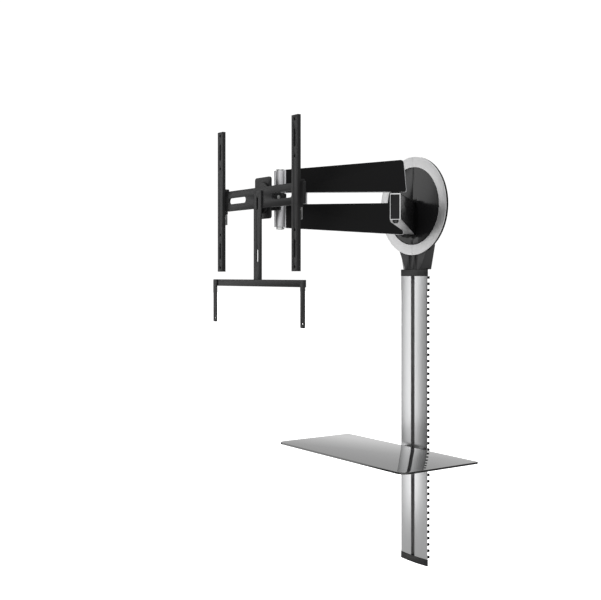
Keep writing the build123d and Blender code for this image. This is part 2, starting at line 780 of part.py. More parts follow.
nodes["shelf_knob"] = (
    Pos(0, shelf_plate_y - shelf_plate_thick - 1, knob_z)
    * Rot(90, 0, 0)
    * lobed_knob(7, 18, 18, 4 + running_gap)
)

for node, shape in nodes.items():
    export_step(shape, f"parts/{node}.step")
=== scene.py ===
import json
import logging
import math
from dataclasses import dataclass, field
from enum import Enum
from typing import Optional, Sequence, Union

import bmesh
import bpy
from mathutils import Matrix, Vector


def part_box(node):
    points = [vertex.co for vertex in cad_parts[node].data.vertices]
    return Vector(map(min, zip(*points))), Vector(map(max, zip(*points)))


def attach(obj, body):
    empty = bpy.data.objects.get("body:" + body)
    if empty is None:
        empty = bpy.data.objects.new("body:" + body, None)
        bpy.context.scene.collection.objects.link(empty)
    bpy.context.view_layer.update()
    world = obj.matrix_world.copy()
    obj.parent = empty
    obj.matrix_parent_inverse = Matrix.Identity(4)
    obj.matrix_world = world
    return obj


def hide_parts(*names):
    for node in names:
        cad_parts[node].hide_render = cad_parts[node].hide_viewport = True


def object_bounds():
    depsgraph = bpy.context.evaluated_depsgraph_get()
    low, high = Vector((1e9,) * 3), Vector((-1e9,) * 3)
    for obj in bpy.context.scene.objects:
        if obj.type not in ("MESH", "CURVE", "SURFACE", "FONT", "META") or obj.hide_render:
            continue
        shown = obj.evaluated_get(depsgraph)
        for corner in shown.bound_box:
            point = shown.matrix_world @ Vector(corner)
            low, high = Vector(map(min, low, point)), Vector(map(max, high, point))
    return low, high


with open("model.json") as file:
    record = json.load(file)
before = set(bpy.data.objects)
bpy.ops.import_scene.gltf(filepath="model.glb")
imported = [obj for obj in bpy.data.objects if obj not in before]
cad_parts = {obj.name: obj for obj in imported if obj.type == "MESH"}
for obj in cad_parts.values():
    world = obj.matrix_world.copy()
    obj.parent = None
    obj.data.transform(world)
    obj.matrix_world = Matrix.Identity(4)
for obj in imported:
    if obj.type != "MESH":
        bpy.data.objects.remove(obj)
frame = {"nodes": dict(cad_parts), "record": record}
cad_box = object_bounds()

log = logging.getLogger("wall_mount")

MM = 0.001
MID = 0.5  # the middle of a noise value
Number = Union[int, float]
Colour = tuple[float, float, float]
Point = tuple[float, float]
Triple = tuple[float, float, float]
Value = Union["Shade", Number]


# ---------------------------------------------------------------- shader maths
class Shade:
    """A number on a shader socket, whose operators add Math nodes."""

    def __init__(self, tree: bpy.types.NodeTree, socket: bpy.types.NodeSocket) -> None:
        """Keeps the socket and the tree that it belongs to."""
        self.tree = tree
        self.socket = socket

    def _math(self, operation: str, first: Value, second: Optional[Value] = None) -> "Shade":
        """Adds one Math node.

        Args:
            operation: Blender's name of the operation.
            first: The first value.
            second: The second value, where the operation has one.

        Returns:
            The node's result.
        """
        node = self.tree.nodes.new("ShaderNodeMath")
        node.operation = operation
        for index, value in enumerate((first, second)):
            if isinstance(value, Shade):
                self.tree.links.new(value.socket, node.inputs[index])
            elif value is not None:
                node.inputs[index].default_value = value
        return Shade(self.tree, node.outputs[0])

    def __add__(self, other: Value) -> "Shade":
        """Returns self + other."""
        return self._math("ADD", self, other)

    __radd__ = __add__

    def __mul__(self, other: Value) -> "Shade":
        """Returns self * other."""
        return self._math("MULTIPLY", self, other)

    __rmul__ = __mul__

    def __sub__(self, other: Value) -> "Shade":
        """Returns self - other."""
        return self._math("SUBTRACT", self, other)

    def __rsub__(self, other: Number) -> "Shade":
        """Returns other - self."""
        return self._math("SUBTRACT", other, self)

    def __pow__(self, other: Number) -> "Shade":
        """Returns self raised to a power."""
        return self._math("POWER", self, other)

    def angle(self, other: "Shade") -> "Shade":
        """Returns the angle whose sine side is self and whose cosine side is other."""
        return self._math("ARCTAN2", self, other)

    def eased(self, low: float, high: float) -> "Shade":
        """Makes a smooth step.

        Args:
            low: Where the step starts.
            high: Where the step ends.

        Returns:
            0 below low, 1 above high and a smooth rise between them.
        """
        node = self.tree.nodes.new("ShaderNodeMapRange")
        node.interpolation_type = "SMOOTHSTEP"
        self.tree.links.new(self.socket, node.inputs["Value"])
        node.inputs["From Min"].default_value = low
        node.inputs["From Max"].default_value = high
        return Shade(self.tree, node.outputs[0])

    def clamped(self) -> "Shade":
        """Returns self held between 0 and 1."""
        result = self._math("MAXIMUM", self, 0.0)
        return self._math("MINIMUM", result, 1.0)


class Recipe:
    """A material's node tree while it is being put together."""

    def __init__(self, name: str) -> None:
        """Starts a material that has only a Principled shader.

        Args:
            name: The material's name.
        """
        self.material = bpy.data.materials.new(name)
        self.material.use_nodes = True
        self.tree = self.material.node_tree
        self.tree.nodes.clear()
        self.shader = self.tree.nodes.new("ShaderNodeBsdfPrincipled")
        output = self.tree.nodes.new("ShaderNodeOutputMaterial")
        self.tree.links.new(self.shader.outputs[0], output.inputs["Surface"])
        self.coords = self.tree.nodes.new("ShaderNodeTexCoord").outputs["Object"]

    def node(
        self, kind: str, settings: Optional[dict] = None, sockets: Optional[dict] = None
    ) -> bpy.types.Node:
        """Adds any node.

        Args:
            kind: The node's type.
            settings: Attributes that are set before the sockets.
            sockets: Values or links by the socket's name or number.

        Returns:
            The new node.
        """
        node = self.tree.nodes.new(kind)
        for key, value in (settings or {}).items():
            setattr(node, key, value)
        for key, value in (sockets or {}).items():
            self.feed(node.inputs[key], value)
        return node

    def feed(self, target: bpy.types.NodeSocket, value: object) -> None:
        """Links or sets one socket.

        Args:
            target: The input socket.
            value: A number on a socket, a socket to link, or a plain value.
        """
        if isinstance(value, Shade):
            self.tree.links.new(value.socket, target)
        elif isinstance(value, bpy.types.NodeSocket):
            self.tree.links.new(value, target)
        else:
            target.default_value = value

    def place(self, scale: Sequence[float], turn: Sequence[float] = (0, 0, 0)) -> bpy.types.NodeSocket:
        """Returns object coordinates, turned and stretched."""
        sockets = {"Vector": self.coords, "Scale": scale, "Rotation": turn}
        return self.node("ShaderNodeMapping", None, sockets).outputs[0]

    def axes(self) -> tuple[Shade, Shade, Shade]:
        """Returns the three object coordinates as numbers."""
        split = self.node("ShaderNodeSeparateXYZ", None, {0: self.coords})
        return tuple(Shade(self.tree, out) for out in split.outputs)

    def joined(self, x: object, y: object, z: object = 0.0) -> bpy.types.NodeSocket:
        """Returns a vector made of three numbers."""
        return self.node("ShaderNodeCombineXYZ", None, {0: x, 1: y, 2: z}).outputs[0]

    def noise(self, vector: object, scale: float, detail: float = 3.0, rough: float = 0.5) -> Shade:
        """Returns a noise value from 0 to 1."""
        sockets = {"Vector": vector, "Scale": scale, "Detail": detail, "Roughness": rough}
        return Shade(self.tree, self.node("ShaderNodeTexNoise", None, sockets).outputs[0])

    def cells(self, vector: object, scale: float, feature: str = "F1") -> Shade:
        """Returns the distance to the nearest cell point."""
        node = self.node("ShaderNodeTexVoronoi", {"feature": feature}, {"Vector": vector, "Scale": scale})
        return Shade(self.tree, node.outputs["Distance"])

    def mix(self, amount: Shade, first: Colour, second: Colour) -> bpy.types.NodeSocket:
        """Blends two colours.

        Args:
            amount: 0 for the first colour and 1 for the second.
            first: The first colour.
            second: The second colour.

        Returns:
            The blend's socket.
        """
        node = self.node("ShaderNodeMix", {"data_type": "RGBA"}, {"Factor": amount})
        node.inputs[6].default_value = (*first, 1)
        node.inputs[7].default_value = (*second, 1)
        return node.outputs[2]

    def set(self, **sockets: object) -> None:
        """Sets the shader's sockets. An underscore stands for a space."""
        for key, value in sockets.items():
            self.feed(self.shader.inputs[key.replace("_", " ")], value)

    def bump(self, height: Shade, depth: float, strength: float = 1.0) -> None:
        """Raises the surface by a height from 0 to 1, whose full depth is in metres."""
        sockets = {"Height": height, "Distance": depth, "Strength": strength}
        self.feed(self.shader.inputs["Normal"], self.node("ShaderNodeBump", None, sockets).outputs[0])


class Grain(Enum):
    """Which way the lines of a brushed metal run."""

    ALONG_Z = "up and down"
    ROUND_Y = "in rings round the disc's axis"
    ALL = "no direction"


@dataclass(frozen=True)
class Finish:
    """A surface finish. A subclass says how it looks."""

    name: str
    colour: Colour

    def shade(self, recipe: Recipe) -> None:
        """Adds the finish's nodes to a recipe."""
        raise NotImplementedError

    def material(self) -> bpy.types.Material:
        """Makes the finish's material on first use.

        Returns:
            The material.
        """
        known = bpy.data.materials.get(self.name)
        if known is None:
            recipe = Recipe(self.name)
            self.shade(recipe)
            known = recipe.material
            known.diffuse_color = (*self.colour, 1)
        return known


def scaled(colour: Colour, factor: float) -> Colour:
    """Returns a colour made lighter or darker."""
    return tuple(min(1.0, part * factor) for part in colour)


@dataclass(frozen=True)
class Brushed(Finish):
    """Metal with fine parallel or round brush lines.

    Lines, speckle and handling marks are counted a metre. A tint is a share of the colour's change and a
    haze a share of the roughness's.
    """

    grain: Grain = Grain.ALONG_Z
    roughness: float = 0.3
    depth: float = 0.000012
    contrast: float = 0.12
    across: float = 2600.0
    along: float = 14.0
    round_turns: float = 9.0
    speckle: float = 700.0
    handling: float = 9.0
    line_tint: float = 0.75
    line_haze: float = 1.3
    handling_haze: float = 0.5

    def shade(self, recipe: Recipe) -> None:
        """Fine stretched noise for the lines and broad noise for handling.

        Args:
            recipe: The material's node tree.
        """
        if self.grain is Grain.ROUND_Y:
            x, _, z = recipe.axes()
            radius = (x * x + z * z) ** 0.5
            vector = recipe.joined(radius * self.across, z.angle(x) * self.round_turns)
        elif self.grain is Grain.ALONG_Z:
            vector = recipe.place((self.across, self.across, self.along))
        else:
            vector = recipe.place((self.speckle, self.speckle, self.speckle))
        lines = recipe.noise(vector, 1.0, 2.0, 0.6)
        broad = recipe.noise(recipe.coords, self.handling, 2.0)
        low = scaled(self.colour, 1 - self.contrast)
        high = scaled(self.colour, 1 + self.contrast)
        tint = lines * self.line_tint + broad * (1 - self.line_tint)
        haze = (lines - MID) * self.line_haze + (broad - MID) * self.handling_haze
        recipe.set(
            Base_Color=recipe.mix(tint, low, high),
            Metallic=1.0,
            Roughness=haze * self.contrast + self.roughness,
        )
        recipe.bump(lines, self.depth)


@dataclass(frozen=True)
class Hairlines:
    """Scratches that run one way: how many a metre on each axis, their turn and how rare they are."""

    scale: Triple
    turn: Triple
    band: Point

    def marks(self, recipe: Recipe) -> Shade:
        """Returns 1 on a scratch and 0 beside it."""
        return recipe.noise(recipe.place(self.scale, self.turn), 1.0, 2.0).eased(*self.band)


@dataclass(frozen=True)
class Polished(Finish):
    """Plated or polished metal with hairline scratches. The haze is counted a metre."""

    roughness: float = 0.06
    hairline: float = 0.000004
    level: Hairlines = Hairlines((40, 1800, 1800), (0.3, 0.2, 0.5), (0.66, 0.74))
    steep: Hairlines = Hairlines((1500, 60, 1500), (0.1, 0.7, 0.2), (0.68, 0.76))
    haze: float = 22.0
    worn: float = 0.86
    mark_tint: float = 0.5
    haze_tint: float = 0.3
    mark_dull: float = 0.1
    haze_dull: float = 0.05

    def shade(self, recipe: Recipe) -> None:
        """Sparse hairlines in two directions over a mirror finish.

        Args:
            recipe: The material's node tree.
        """
        marks = (self.level.marks(recipe) + self.steep.marks(recipe)).clamped()
        haze = recipe.noise(recipe.coords, self.haze, 3.0)
        tint = marks * self.mark_tint + haze * self.haze_tint
        recipe.set(
            Base_Color=recipe.mix(tint, self.colour, scaled(self.colour, self.worn)),
            Metallic=1.0,
            Roughness=marks * self.mark_dull + haze * self.haze_dull + self.roughness,
        )
        recipe.bump(marks * -1.0, self.hairline)


@dataclass(frozen=True)
class Gloss(Finish):
    """High gloss moulded plastic or lacquer. Waves, swells and specks are counted a metre."""

    roughness: float = 0.04
    peel: float = 0.000006
    dust: float = 0.02
    gloss: float = 0.5
    dust_colour: Colour = (0.16, 0.16, 0.165)
    waves: float = 160.0
    swells: float = 7.0
    specks: float = 260.0
    speck_band: Point = (0.03, 0.09)
    swell_tint: float = 0.01
    swell_dull: float = 0.05

    def shade(self, recipe: Recipe) -> None:
        """Deep colour with faint orange peel and a little settled dust.

        Args:
            recipe: The material's node tree.
        """
        peel = recipe.noise(recipe.coords, self.waves, 2.0)
        broad = recipe.noise(recipe.coords, self.swells, 3.0)
        specks = 1.0 - recipe.cells(recipe.coords, self.specks).eased(*self.speck_band)
        tint = specks * self.dust + broad * self.swell_tint
        recipe.set(
            Base_Color=recipe.mix(tint, self.colour, self.dust_colour),
            Roughness=broad * self.swell_dull + specks * self.dust + self.roughness,
            Specular_IOR_Level=self.gloss,
        )
        recipe.bump(peel, self.peel)


@dataclass(frozen=True)
class Grained(Finish):
    """Moulded plastic or textured coating with a fine grain. Its size is in grains a metre."""

    roughness: float = 0.5
    size: float = 900.0
    depth: float = 0.00006
    sheen: float = 0.0
    gloss: float = 0.5
    finer: float = 2.2
    cell_share: float = 0.7
    handling: float = 12.0
    shades: Point = (0.8, 1.35)
    grain_tint: float = 0.5
    grain_dull: float = 0.08
    handling_dull: float = 0.14
    relief: float = 0.7

    def shade(self, recipe: Recipe) -> None:
        """Small cells for the grain, a fine noise between them and broad handling marks.

        Args:
            recipe: The material's node tree.
        """
        cells = recipe.cells(recipe.coords, self.size, "SMOOTH_F1")
        fine = recipe.noise(recipe.coords, self.size * self.finer, 2.0)
        broad = recipe.noise(recipe.coords, self.handling, 4.0)
        grain = (cells * self.cell_share + fine * (1 - self.cell_share)).clamped()
        low, high = (scaled(self.colour, factor) for factor in self.shades)
        tint = grain * self.grain_tint + broad * (1 - self.grain_tint)
        haze = (broad - MID) * self.handling_dull + (grain - MID) * self.grain_dull
        recipe.set(
            Base_Color=recipe.mix(tint, low, high),
            Roughness=haze + self.roughness,
            Sheen_Weight=self.sheen,
            Specular_IOR_Level=self.gloss,
        )
        recipe.bump(grain, self.depth, self.relief)


@dataclass(frozen=True)
class Plated(Finish):
    """Zinc plated steel with a soft spangle. Flakes and swells are counted a metre."""

    roughness: float = 0.32
    depth: float = 0.00001
    flakes: float = 420.0
    swells: float = 60.0
    flake_tint: float = 0.8
    swell_tint: float = 0.3
    swell_dull: float = 0.2
    shades: Point = (0.8, 1.15)

    def shade(self, recipe: Recipe) -> None:
        """Irregular bright cells over a soft unevenness.

        Args:
            recipe: The material's node tree.
        """
        cells = recipe.cells(recipe.coords, self.flakes)
        broad = recipe.noise(recipe.coords, self.swells, 3.0)
        spangle = (cells * self.flake_tint + broad * self.swell_tint).clamped()
        low, high = (scaled(self.colour, factor) for factor in self.shades)
        recipe.set(
            Base_Color=recipe.mix(spangle, low, high),
            Metallic=1.0,
            Roughness=(broad - MID) * self.swell_dull + self.roughness,
        )
        recipe.bump(broad, self.depth)


@dataclass(frozen=True)
class Pane(Finish):
    """Black tempered glass with a polished edge. Wipe marks and specks are counted a metre."""

    roughness: float = 0.02
    coat_roughness: float = 0.01
    ior: float = 1.52
    dust_colour: Colour = (0.1, 0.11, 0.11)
    wipes: Triple = (3, 26, 3)
    wipe_turn: Triple = (0, 0, 0.5)
    wipe_band: Point = (0.45, 0.8)
    specks: float = 190.0
    speck_band: Point = (0.02, 0.06)
    tint: float = 0.04
    haze: float = 0.05

    def shade(self, recipe: Recipe) -> None:
        """A mirror-smooth face with faint wipe marks and a few specks.

        Args:
            recipe: The material's node tree.
        """
        wipes = recipe.noise(recipe.place(self.wipes, self.wipe_turn), 1.0, 4.0)
        specks = 1.0 - recipe.cells(recipe.coords, self.specks).eased(*self.speck_band)
        tint = specks * self.tint + wipes * self.tint
        recipe.set(
            Base_Color=recipe.mix(tint, self.colour, self.dust_colour),
            Roughness=wipes.eased(*self.wipe_band) * self.haze + specks * self.haze + self.roughness,
            Coat_Weight=1.0,
            Coat_Roughness=self.coat_roughness,
            IOR=self.ior,
        )


RING = Brushed(
    "ring_brushed_aluminium", (0.97, 0.97, 0.975), grain=Grain.ROUND_Y, roughness=0.54, contrast=0.08
)
COLUMN = Brushed("column_satin_aluminium", (0.76, 0.765, 0.77), depth=0.000006, contrast=0.05)
UNDERSIDE = Brushed(
    "underside_brushed_aluminium", (0.42, 0.42, 0.42), grain=Grain.ALL, roughness=0.42
)
CASTING = Brushed(
    "cast_aluminium", (0.66, 0.66, 0.675), grain=Grain.ALL, roughness=0.42, depth=0.00004
)
CHROME = Polished("polished_chrome", (0.93, 0.935, 0.94), roughness=0.16)
DISH = Gloss("dish_piano_black", (0.011, 0.011, 0.0115), roughness=0.18)
ARM_GLOSS = Gloss("arm_gloss_black", (0.011, 0.011, 0.0115), roughness=0.18)
FRONT_PLATE = Gloss(
    "front_plate_satin_black", (0.008, 0.008, 0.0085), roughness=0.25, gloss=0.25
)
NECK = Gloss("neck_satin_black", (0.006, 0.006, 0.0065), roughness=0.27, peel=0.00001)
WING = Grained(
    "wing_matte_black", (0.003, 0.003, 0.0032), roughness=0.42, size=1500.0, depth=0.00003, gloss=0.14
)
STEEL = Grained("powder_coated_steel", (0.01, 0.01, 0.0105), size=800.0, depth=0.00007)
PLASTIC = Grained(
    "moulded_black_plastic", (0.012, 0.012, 0.0125), roughness=0.42, size=1100.0, depth=0.00004
)
DEEP_BLACK = Grained(
    "deep_black_plastic", (0.005, 0.005, 0.005), size=1100.0, depth=0.00004, gloss=0.25
)
RUBBER = Grained(
    "shelf_pad_rubber", (0.02, 0.02, 0.02), roughness=0.7, size=1300.0, depth=0.00005, sheen=0.2
)
POLYMER = Grained(
    "dark_bearing_polymer", (0.006, 0.006, 0.006), roughness=0.4, size=1400.0, depth=0.00002
)
ZINC = Plated("zinc_plated_steel", (0.7, 0.71, 0.7))
TRUNK = Grained("pale_grey_extrusion", (0.3, 0.3, 0.305), size=1000.0, depth=0.00004)
GLASS = Pane("black_tempered_glass", (0.004, 0.004, 0.0045))


# ---------------------------------------------------------------- shaping
class Shaper:
    """A mesh while it is modelled. Sizes are in millimetres until it becomes a mesh."""

    SAME_PLACE = 0.0005
    TINY = 0.0001
    KEY_SIDES = 6
    BUTTON = ((1.0, 0.0), (1.0, 0.55), (0.93, 0.85), (0.78, 1.0))

    def __init__(self) -> None:
        """Starts with nothing."""
        self.bm = bmesh.new()

    def turn(self, profile: Sequence[Point], steps: int = 48) -> "Shaper":
        """Spins a profile round the Z axis.

        Args:
            profile: Radius and height of each corner, from one end of the axis to the other or as a
                closed loop.
            steps: The number of faces round the axis.

        Returns:
            The shaper itself.
        """
        corners = [self.bm.verts.new((radius, 0, height)) for radius, height in profile]
        closed = all(radius > 0 for radius, _ in profile)
        pairs = list(zip(corners, corners[1:] + (corners[:1] if closed else [])))
        edges = [self.bm.edges.new(pair) for pair in pairs]
        bmesh.ops.spin(
            self.bm,
            geom=corners + edges,
            cent=(0, 0, 0),
            axis=(0, 0, 1),
            angle=math.tau,
            steps=steps,
            use_merge=True,
        )
        self.close()
        return self

    def close(self) -> None:
        """Merges doubles and turns every face outwards."""
        bmesh.ops.remove_doubles(self.bm, verts=self.bm.verts, dist=self.SAME_PLACE)
        bmesh.ops.dissolve_degenerate(self.bm, dist=self.TINY, edges=self.bm.edges)
        bmesh.ops.recalc_face_normals(self.bm, faces=self.bm.faces)

    def slab(self, outline: Sequence[Point], low: float, high: float) -> "Shaper":
        """Raises a flat outline from one height to another.

        Args:
            outline: X and Y of each corner, in order.
            low: The lower height.
            high: The upper height.

        Returns:
            The shaper itself.
        """
        corners = [self.bm.verts.new((x, y, low)) for x, y in outline]
        face = self.bm.faces.new(corners)
        raised = bmesh.ops.extrude_face_region(self.bm, geom=[face])["geom"]
        moved = [item for item in raised if isinstance(item, bmesh.types.BMVert)]
        bmesh.ops.translate(self.bm, verts=moved, vec=(0, 0, high - low))
        self.close()
        return self

    def socket_head(
        self, radius: float, height: float, key: float, depth: float, steps: int = 24
    ) -> "Shaper":
        """A button head with a six-sided socket, on Z = 0 and facing up.

        Args:
            radius: The head's radius.
            height: The head's height.
            key: The radius of the socket's corners.
            depth: The socket's depth.
            steps: The number of faces round the head, a multiple of 6.

        Returns:
            The shaper itself.
        """
        loops = [self.hoop(radius * wide, height * high, steps) for wide, high in self.BUTTON]
        loops += [self.hoop(key, level, self.KEY_SIDES) for level in (height, height - depth)]
        for below, above in zip(loops, loops[1:]):
            hoops = set(below), set(above)
            rims = [edge for edge in self.bm.edges if any(hoop.issuperset(edge.verts) for hoop in hoops)]
            bmesh.ops.bridge_loops(self.bm, edges=rims)
        self.bm.faces.new(loops[-1])
        self.bm.faces.new(loops[0])
        self.close()
        return self

    def hoop(self, radius: float, level: float, steps: int) -> list[bmesh.types.BMVert]:
        """Adds a level circle round the Z axis.

        Args:
            radius: The circle's radius.
            level: Its height.
            steps: The number of its corners.

        Returns:
            Its corners.
        """
        corners = bmesh.ops.create_circle(self.bm, segments=steps, radius=radius)["verts"]
        bmesh.ops.translate(self.bm, verts=corners, vec=(0, 0, level))
        return corners

    def rounded(self, width: float, steps: int = 2, angle: float = 40.0) -> "Shaper":
        """Rounds the sharp edges.

        Args:
            width: How far the rounding reaches from an edge.
            steps: The number of faces across it.
            angle: Edges sharper than this angle in degrees are rounded.

        Returns:
            The shaper itself.
        """
        sharp = [edge for edge in self.bm.edges if edge.calc_face_angle(0.0) > math.radians(angle)]
        bmesh.ops.bevel(
            self.bm,
            geom=sharp,
            offset=width,
            offset_type="OFFSET",
            affect="EDGES",
            segments=steps,
            profile=0.5,
            material=-1,
            clamp_overlap=True,
        )
        return self

    def cut(self, point: Sequence[float], normal: Sequence[float]) -> "Shaper":
        """Cuts away what lies on one side of a plane and closes the cut.

        Args:
            point: A point on the plane.
            normal: The direction towards what is cut away.

        Returns:
            The shaper itself.
        """
        geom = self.bm.verts[:] + self.bm.edges[:] + self.bm.faces[:]
        made = bmesh.ops.bisect_plane(
            self.bm, geom=geom, plane_co=point, plane_no=normal, clear_outer=True
        )
        rim = [item for item in made["geom_cut"] if isinstance(item, bmesh.types.BMEdge)]
        bmesh.ops.edgenet_fill(self.bm, edges=rim)
        self.close()
        return self

    def place(self, matrix: Matrix) -> "Shaper":
        """Moves and turns the shape."""
        bmesh.ops.transform(self.bm, matrix=matrix, verts=self.bm.verts)
        return self

    def join(self, other: "Shaper", matrix: Matrix) -> "Shaper":
        """Adds a placed copy of another shape.

        Args:
            other: The shape to copy, which stays as it is.
            matrix: The copy's place.

        Returns:
            The shaper itself.
        """
        mesh = bpy.data.meshes.new("part")
        copy = other.bm.copy()
        bmesh.ops.transform(copy, matrix=matrix, verts=copy.verts)
        copy.to_mesh(mesh)
        copy.free()
        self.bm.from_mesh(mesh)
        bpy.data.meshes.remove(mesh)
        return self

    def mesh(self, name: str, smooth: float = 35.0) -> bpy.types.Mesh:
        """Turns the shape into a mesh in metres.

        Args:
            name: The mesh's name.
            smooth: Edges sharper than this angle in degrees stay sharp.

        Returns:
            The finished mesh.
        """
        bmesh.ops.scale(self.bm, vec=(MM, MM, MM), verts=self.bm.verts)
        for face in self.bm.faces:
            face.smooth = True
        for edge in self.bm.edges:
            edge.smooth = edge.calc_face_angle(0.0) < math.radians(smooth)
        mesh = bpy.data.meshes.new(name)
        self.bm.to_mesh(mesh)
        self.bm.free()
        return mesh


def at(x: float, y: float, z: float) -> Matrix:
    """Returns a move in millimetres."""
    return Matrix.Translation((x, y, z))


def turned(degrees: float, axis: str) -> Matrix:
    """Returns a turn about one axis."""
    return Matrix.Rotation(math.radians(degrees), 4, axis)


def limits(node: str) -> tuple[Vector, Vector]:
    """Returns a CAD node's lowest and highest corners in millimetres."""
    low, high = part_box(node)
    return Vector(low) / MM, Vector(high) / MM


# ---------------------------------------------------------------- pieces
def finished(
    name: str, mesh: bpy.types.Mesh, finish: Finish, body: str, hides: Sequence[str] = ()
) -> bpy.types.Object:
    """Adds a finished mesh to the scene.

    Args:
        name: The piece's name.
        mesh: Its mesh, in the frame's place.
        finish: Its surface finish.
        body: The CAD body that it rides on.
        hides: CAD nodes that it stands for.

    Returns:
        The new object.
    """
    piece = bpy.data.objects.new(name, mesh)
    bpy.context.scene.collection.objects.link(piece)
    mesh.materials.clear()
    mesh.materials.append(finish.material())
    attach(piece, body)
    if hides:
        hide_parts(*hides)
    log.info("piece %s rides on %s", name, body)
    return piece


@dataclass(frozen=True)
class Coat:
    """How one CAD node is shown: its finish and the rounding of its edges in millimetres."""

    finish: Finish
    rounding: float = 0.0
    steps: int = 2


@dataclass
class SubAssembly:
    """A group of nodes and pieces that is dressed together. Angles are in degrees."""

    coats: dict[str, Coat] = field(default_factory=dict)
    same_place: float = 0.01
    flat_within: float = 1.0
    rounded_above: float = 38.0

    def body_of(self, node: str) -> str:
        """Looks up the body that a node belongs to.

        Args:
            node: The CAD node.

        Returns:
            The body's name.

        Raises:
            KeyError: No body has the node.
        """
        for body, nodes in frame["record"]["behaviour"]["bodies"].items():
            if node in nodes:
                return body
        raise KeyError(node)

    def slot_of(self, node: str) -> str:
        """Returns the record's material slot of a node."""
        rows = frame["record"]["subparts"]
        return next(row["material_slot"] for row in rows if row["node"] == node)

    def soften(self, node: str, coat: Coat) -> None:
        """Shows a node by a copy whose sharp edges are rounded.

        Args:
            node: The CAD node.
            coat: Its finish and rounding.
        """
        bm = bmesh.new()
        bm.from_mesh(frame["nodes"][node].data)
        bmesh.ops.remove_doubles(bm, verts=bm.verts, dist=self.same_place * MM)
        flat = math.radians(self.flat_within)
        bmesh.ops.dissolve_limit(bm, angle_limit=flat, verts=bm.verts, edges=bm.edges)
        for face in bm.faces:
            face.smooth = True
        mesh = bpy.data.meshes.new(node + "_soft")
        bm.to_mesh(mesh)
        bm.free()
        body, slot = self.body_of(node), self.slot_of(node)
        piece = finished(node + "_soft", mesh, coat.finish, body, [node])
        bevel = piece.modifiers.new("rounding", "BEVEL")
        bevel.width = coat.rounding * MM
        bevel.segments = coat.steps
        bevel.limit_method = "ANGLE"
        bevel.angle_limit = math.radians(self.rounded_above)
        bevel.harden_normals = True

    def swap(self, name: str, shape: Shaper, finish: Finish, node: str) -> None:
        """Shows a node by a newly modelled shape."""
        finished(name, shape.mesh(name), finish, self.body_of(node), [node])

    def dress(self) -> None:
        """Gives every node its finish, and a rounded copy where its edges are rounded."""
        for node, coat in self.coats.items():
            for place in frame["nodes"][node].material_slots:
                place.material = coat.finish.material()
            if coat.rounding > 0:
                self.soften(node, coat)
            else:
                log.info("node %s wears %s", node, coat.finish.name)

    def build_pieces(self) -> None:
        """Models the pieces that are new. A sub-assembly without any has nothing to do."""

    def build(self) -> None:
        """Dresses the nodes and models the new pieces."""
        self.dress()
        self.build_pieces()


@dataclass
class WallUnit(SubAssembly):
    """Wall plate, hinge bracket and the round disc that covers them.

    Sizes are in millimetres. A rounding lists how far each corner lies in from the side and down from the
    top, and on the ring in widths of its edge.
    """

    ring_outer: float = 158.0
    ring_inner: float = 125.0
    edge: float = 0.6
    seam: float = 0.8
    ring_steps: int = 160
    inner_round: tuple[Point, ...] = ((0, 0.6), (0.2, 0.15), (0.7, 0))
    outer_round: tuple[Point, ...] = ((1.3, 0), (0.45, 0.3), (0.1, 0.9), (0, 1.8))
    shaft_r: float = 8.0
    head_r: float = 12.0
    foot_h: float = 4.0
    foot_chamfer: Point = (2, 1)
    head_h: float = 3.0
    head_chamfer: float = 0.5
    head_dome: tuple[Point, ...] = ((0, 1.2), (1.5, 0.3), (4, 0))
    pin_steps: int = 40

    def __post_init__(self) -> None:
        """Lists the finishes."""
        self.coats = {
            "wall_plate": Coat(STEEL, 0.5),
            "hinge_bracket": Coat(STEEL, 0.8),
            "wall_hinge_pin": Coat(STEEL),
            "disc_carrier": Coat(DEEP_BLACK, 0.8),
            "disc_screws": Coat(ZINC),
            "ring_left": Coat(RING),
            "ring_right": Coat(RING),
            "dish_left": Coat(DISH, 0.25),
            "dish_right": Coat(DISH, 0.25),
        }

    def build_ring(self) -> None:
        """Turns the silver ring with rounded edges and parts it at the seam."""
        for side, node in ((-1, "ring_left"), (1, "ring_right")):
            low, high = limits(node)
            front, back = -low.y, -high.y
            inner, outer, edge = self.ring_inner, self.ring_outer, self.edge
            profile = [(inner, back)]
            profile += [(inner + edge * reach, front - edge * drop) for reach, drop in self.inner_round]
            profile += [(outer - edge * reach, front - edge * drop) for reach, drop in self.outer_round]
            profile.append((outer, back))
            shape = Shaper().turn(profile, self.ring_steps).place(turned(90, "X"))
            shape.cut((side * self.seam / 2, 0, 0), (-side, 0, 0))
            self.swap(node + "_spun", shape, RING, node)

    def build_pin(self) -> None:
        """Turns the hinge pin with a domed head and a chamfered foot."""
        low, high = limits("wall_hinge_pin")
        shaft, head, edge = self.shaft_r, self.head_r, self.edge
        foot = low.z + self.foot_h
        neck = high.z - self.head_h
        reach, rise = self.foot_chamfer
        profile = [
            (0, low.z),
            (head - reach, low.z),
            (head, low.z + rise),
            (head, foot - edge),
            (head - edge, foot),
            (shaft, foot),
            (shaft, neck),
            (head - self.head_chamfer, neck),
            (head, neck + self.head_chamfer),
        ]
        profile += [(head - reach, high.z - drop) for reach, drop in self.head_dome]
        profile.append((0, high.z))
        middle = (low + high) / 2
        shape = Shaper().turn(profile, self.pin_steps).place(at(middle.x, middle.y, 0))
        self.swap("wall_hinge_pin_turned", shape, STEEL, "wall_hinge_pin")

    def build_pieces(self) -> None:
        """Models the ring and the hinge pin."""
        self.build_ring()
        self.build_pin()


